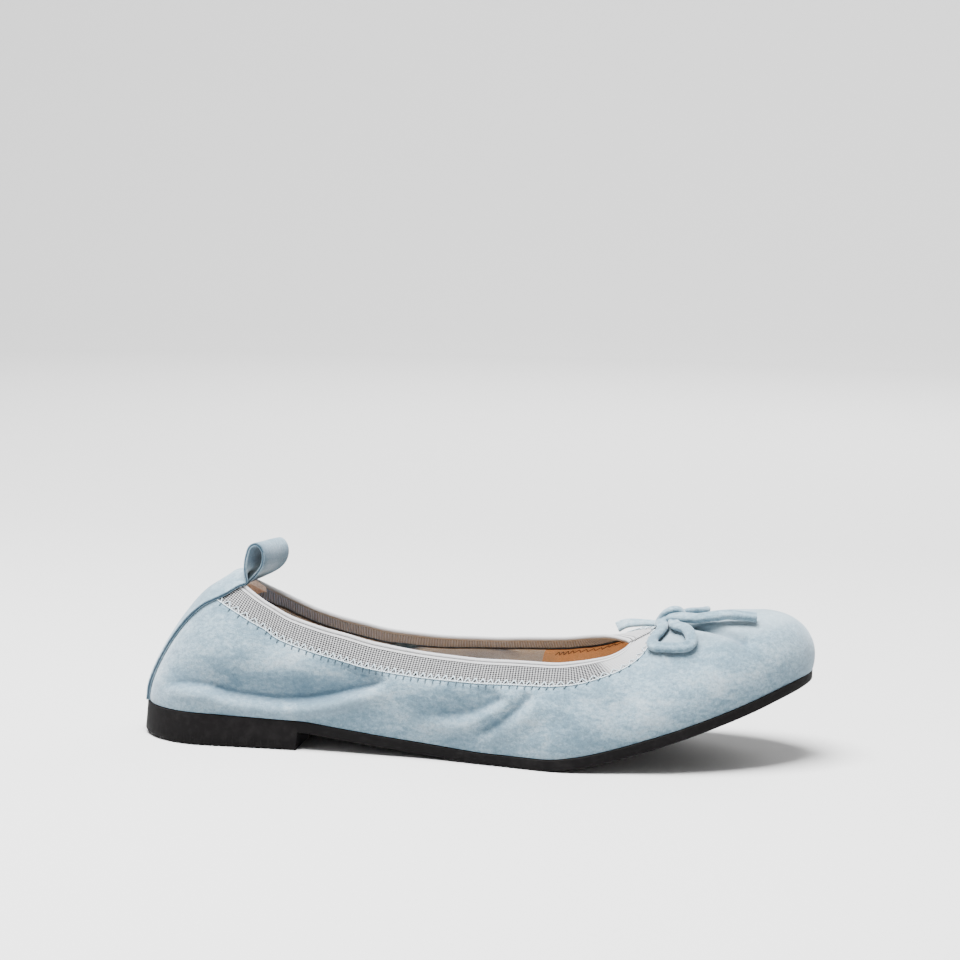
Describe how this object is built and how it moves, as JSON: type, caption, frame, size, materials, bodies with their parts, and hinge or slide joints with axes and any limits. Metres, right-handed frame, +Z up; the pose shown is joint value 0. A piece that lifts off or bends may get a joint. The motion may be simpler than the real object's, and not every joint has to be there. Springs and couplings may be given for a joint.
{
  "type": "ballet flat",
  "caption": "Slip-on ballet flat for the right foot: soft round-toed upper, elastic topline, heel strap with pull loop, vamp bow, low-heeled sole with toe spring.",
  "frame": {"origin": "on the floor, under the middle of the whole shoe's bounding box", "axes": "+X from heel to toe, +Y to the inner (big toe) side of the right foot, +Z up"},
  "size_m": [0.2462, 0.0832, 0.0726],
  "materials": {
    "suede": "matte brushed suede",
    "elastic": "matte woven elastic",
    "sole_rubber": "matte moulded rubber",
    "footbed_leather": "smooth unfinished leather"
  },
  "bodies": {
    "root": {"outsole": "sole_rubber", "footbed": "footbed_leather", "upper": "suede", "elastic_band": "elastic", "heel_strap": "suede", "bow": "suede"}
  },
  "joints": []
}
